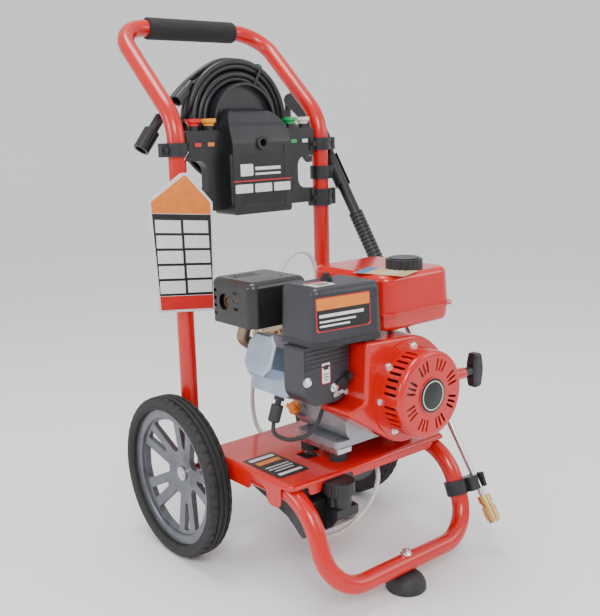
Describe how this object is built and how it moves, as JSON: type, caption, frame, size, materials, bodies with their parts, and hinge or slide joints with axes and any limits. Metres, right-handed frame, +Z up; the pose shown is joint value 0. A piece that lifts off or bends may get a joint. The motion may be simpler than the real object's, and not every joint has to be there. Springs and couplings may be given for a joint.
{
  "type": "pressure washer",
  "caption": "Petrol pressure washer on a two-wheeled red tube frame, with a coiled hose on its console, a spray gun and lance at the side and a detergent tank under the deck.",
  "frame": {"origin": "centre of the rubber foot's underside, on the floor", "axes": "+Z up, -Y to the front of the machine (its recoil starter), +X to its right-hand side seen from the front, where the lance is stored"},
  "size_m": [0.4855, 0.6498, 0.999],
  "materials": {
    "lower_frame": "gloss",
    "handle_frame": "gloss",
    "handle_grip": "foam",
    "deck": "gloss",
    "axle": "plated",
    "rubber_foot": "matte",
    "foot_bolt": "plated",
    "left_rim": "metallic paint",
    "right_rim": "metallic paint",
    "left_tyre": "matte",
    "right_tyre": "matte",
    "console": "satin",
    "console_clamps": "satin",
    "nozzle_red": "gloss",
    "nozzle_yellow": "gloss",
    "nozzle_green": "gloss",
    "nozzle_white": "gloss",
    "hose_coil": "satin",
    "hose_tail": "satin",
    "hose_connectors": "satin",
    "gun_body": "satin",
    "gun_trigger": "satin",
    "trigger_lock": "gloss",
    "lance_tube": "polished",
    "lance_sleeve": "satin",
    "lance_coupler": "machined",
    "coupler_collar": "knurled",
    "lance_holders": "satin",
    "crankcase": "cast",
    "cylinder_head": "cast",
    "valve_cover": "cast",
    "muffler": "heat stained",
    "muffler_guard": "satin",
    "air_filter_base": "satin",
    "air_filter_cover": "satin",
    "filter_knob": "satin",
    "engine_rails": "plated",
    "intake_cover": "satin",
    "carburettor": "cast",
    "choke_lever": "satin",
    "fuel_lever": "plated",
    "fan_shroud": "gloss",
    "recoil_cover": "gloss",
    "recoil_pulley": "moulded",
    "recoil_handle": "satin",
    "flywheel": "cast",
    "crankshaft": "ground",
    "fuel_tank": "gloss",
    "fuel_cap": "satin",
    "spark_plug": "satin",
    "oil_dipstick": "gloss",
    "engine_mounts": "matte",
    "pump_body": "cast",
    "pump_head": "forged",
    "unloader_knob": "satin",
    "detergent_tank": "satin",
    "detergent_cap": "satin",
    "detergent_hose": "clear",
    "hang_card": "laminated card",
    "engine_switch": "gloss"
  },
  "bodies": {
    "machine": {"lower_frame": "lower_frame", "handle_frame": "handle_frame", "handle_grip": "handle_grip", "deck": "deck", "axle": "axle", "rubber_foot": "rubber_foot", "foot_bolt": "foot_bolt", "console": "console", "console_clamps": "console_clamps", "hose_coil": "hose_coil", "hose_tail": "hose_tail", "hose_connectors": "hose_connectors", "lance_holders": "lance_holders", "crankcase": "crankcase", "cylinder_head": "cylinder_head", "valve_cover": "valve_cover", "muffler": "muffler", "muffler_guard": "muffler_guard", "air_filter_base": "air_filter_base", "engine_rails": "engine_rails", "intake_cover": "intake_cover", "carburettor": "carburettor", "fan_shroud": "fan_shroud", "recoil_cover": "recoil_cover", "fuel_tank": "fuel_tank", "spark_plug": "spark_plug", "engine_mounts": "engine_mounts", "pump_body": "pump_body", "pump_head": "pump_head", "detergent_tank": "detergent_tank", "detergent_hose": "detergent_hose"},
    "left_wheel": {"left_rim": "left_rim", "left_tyre": "left_tyre"},
    "right_wheel": {"right_rim": "right_rim", "right_tyre": "right_tyre"},
    "crank": {"crankshaft": "crankshaft", "flywheel": "flywheel"},
    "starter_pulley": {"recoil_pulley": "recoil_pulley"},
    "starter_handle": {"recoil_handle": "recoil_handle"},
    "choke": {"choke_lever": "choke_lever"},
    "fuel_tap": {"fuel_lever": "fuel_lever"},
    "filter_cover": {"air_filter_cover": "air_filter_cover"},
    "filter_nut": {"filter_knob": "filter_knob"},
    "tank_cap": {"fuel_cap": "fuel_cap"},
    "dipstick": {"oil_dipstick": "oil_dipstick"},
    "red_nozzle": {"nozzle_red": "nozzle_red"},
    "yellow_nozzle": {"nozzle_yellow": "nozzle_yellow"},
    "green_nozzle": {"nozzle_green": "nozzle_green"},
    "white_nozzle": {"nozzle_white": "nozzle_white"},
    "spray_gun": {"gun_body": "gun_body", "lance_sleeve": "lance_sleeve", "lance_tube": "lance_tube", "lance_coupler": "lance_coupler"},
    "trigger": {"gun_trigger": "gun_trigger"},
    "lock": {"trigger_lock": "trigger_lock"},
    "collar": {"coupler_collar": "coupler_collar"},
    "pressure_knob": {"unloader_knob": "unloader_knob"},
    "stop_switch": {"engine_switch": "engine_switch"},
    "soap_cap": {"detergent_cap": "detergent_cap"},
    "card": {"hang_card": "hang_card"}
  },
  "joints": [
    {"name": "left_wheel_spin", "type": "hinge", "parent": "machine", "child": "left_wheel", "pos_m": [-0.215, 0.382, 0.1524], "axis": [1, 0, 0], "continuous": true},
    {"name": "right_wheel_spin", "type": "hinge", "parent": "machine", "child": "right_wheel", "pos_m": [0.215, 0.382, 0.1524], "axis": [1, 0, 0], "continuous": true},
    {"name": "crank_spin", "type": "hinge", "parent": "machine", "child": "crank", "pos_m": [0.035, 0.15, 0.345], "axis": [0, 1, 0], "continuous": true},
    {"name": "starter_pulley_turn", "type": "hinge", "parent": "machine", "child": "starter_pulley", "pos_m": [0.035, -0.006, 0.345], "axis": [0, 1, 0], "range_deg": [0, 570]},
    {"name": "starter_pull", "type": "slide", "parent": "machine", "child": "starter_handle", "axis": [1, 0, 0], "range_m": [0, 0.5], "stiffness_N_per_m": 15},
    {"name": "choke_turn", "type": "hinge", "parent": "machine", "child": "choke", "pos_m": [-0.098, 0.057, 0.376], "axis": [0, -1, 0], "range_deg": [0, 45]},
    {"name": "fuel_tap_turn", "type": "hinge", "parent": "machine", "child": "fuel_tap", "pos_m": [-0.106, 0.057, 0.358], "axis": [0, 1, 0], "range_deg": [0, 40]},
    {"name": "stop_switch_rock", "type": "hinge", "parent": "machine", "child": "stop_switch", "pos_m": [0.126, 0.06, 0.345], "axis": [0, 1, 0], "range_deg": [-8, 8]},
    {"name": "filter_cover_lift", "type": "slide", "parent": "machine", "child": "filter_cover", "axis": [0, 0, 1], "range_m": [0, 0.13]},
    {"name": "filter_nut_turn", "type": "hinge", "parent": "filter_cover", "child": "filter_nut", "pos_m": [-0.092, 0.089, 0.546], "axis": [0, 0, 1], "continuous": true},
    {"name": "tank_cap_turn", "type": "hinge", "parent": "machine", "child": "tank_cap", "pos_m": [0.08, 0.08, 0.55], "axis": [0, 0, 1], "range_deg": [0, 90]},
    {"name": "dipstick_pull", "type": "slide", "parent": "machine", "child": "dipstick", "axis": [-0.9063, 0, 0.4226], "range_m": [0, 0.09]},
    {"name": "red_nozzle_lift", "type": "slide", "parent": "machine", "child": "red_nozzle", "axis": [0, 0, 1], "range_m": [0, 0.045]},
    {"name": "yellow_nozzle_lift", "type": "slide", "parent": "machine", "child": "yellow_nozzle", "axis": [0, 0, 1], "range_m": [0, 0.045]},
    {"name": "green_nozzle_lift", "type": "slide", "parent": "machine", "child": "green_nozzle", "axis": [0, 0, 1], "range_m": [0, 0.045]},
    {"name": "white_nozzle_lift", "type": "slide", "parent": "machine", "child": "white_nozzle", "axis": [0, 0, 1], "range_m": [0, 0.045]},
    {"name": "gun_lift_out", "type": "slide", "parent": "machine", "child": "spray_gun", "axis": [0, 0.5519, 0.8339], "range_m": [0, 0.012]},
    {"name": "trigger_pull", "type": "hinge", "parent": "spray_gun", "child": "trigger", "pos_m": [0.206, 0.4505, 0.7496], "axis": [1, 0, 0], "range_deg": [0, 12], "stiffness_Nm_per_rad": 0.5},
    {"name": "trigger_lock_flip", "type": "hinge", "parent": "trigger", "child": "lock", "pos_m": [0.206, 0.4771, 0.7608], "axis": [1, 0, 0], "range_deg": [0, 60]},
    {"name": "coupler_collar_pull", "type": "slide", "parent": "spray_gun", "child": "collar", "axis": [0, 0.5519, 0.8339], "range_m": [0, 0.005], "stiffness_N_per_m": 400},
    {"name": "pressure_knob_turn", "type": "hinge", "parent": "machine", "child": "pressure_knob", "pos_m": [0.062, 0.37, 0.41], "axis": [0, 0, 1], "continuous": true},
    {"name": "soap_cap_turn", "type": "hinge", "parent": "machine", "child": "soap_cap", "pos_m": [-0.091, 0.068, 0.193], "axis": [0, 0, 1], "continuous": true},
    {"name": "card_swing", "type": "hinge", "parent": "machine", "child": "card", "pos_m": [-0.173, 0.371, 0.702], "axis": [-1, 0, 0], "range_deg": [0, 16]}
  ],
  "couplings": [
    {"joint": "starter_pull", "follows": "starter_pulley_turn", "m_per_rad": 0.05}
  ]
}
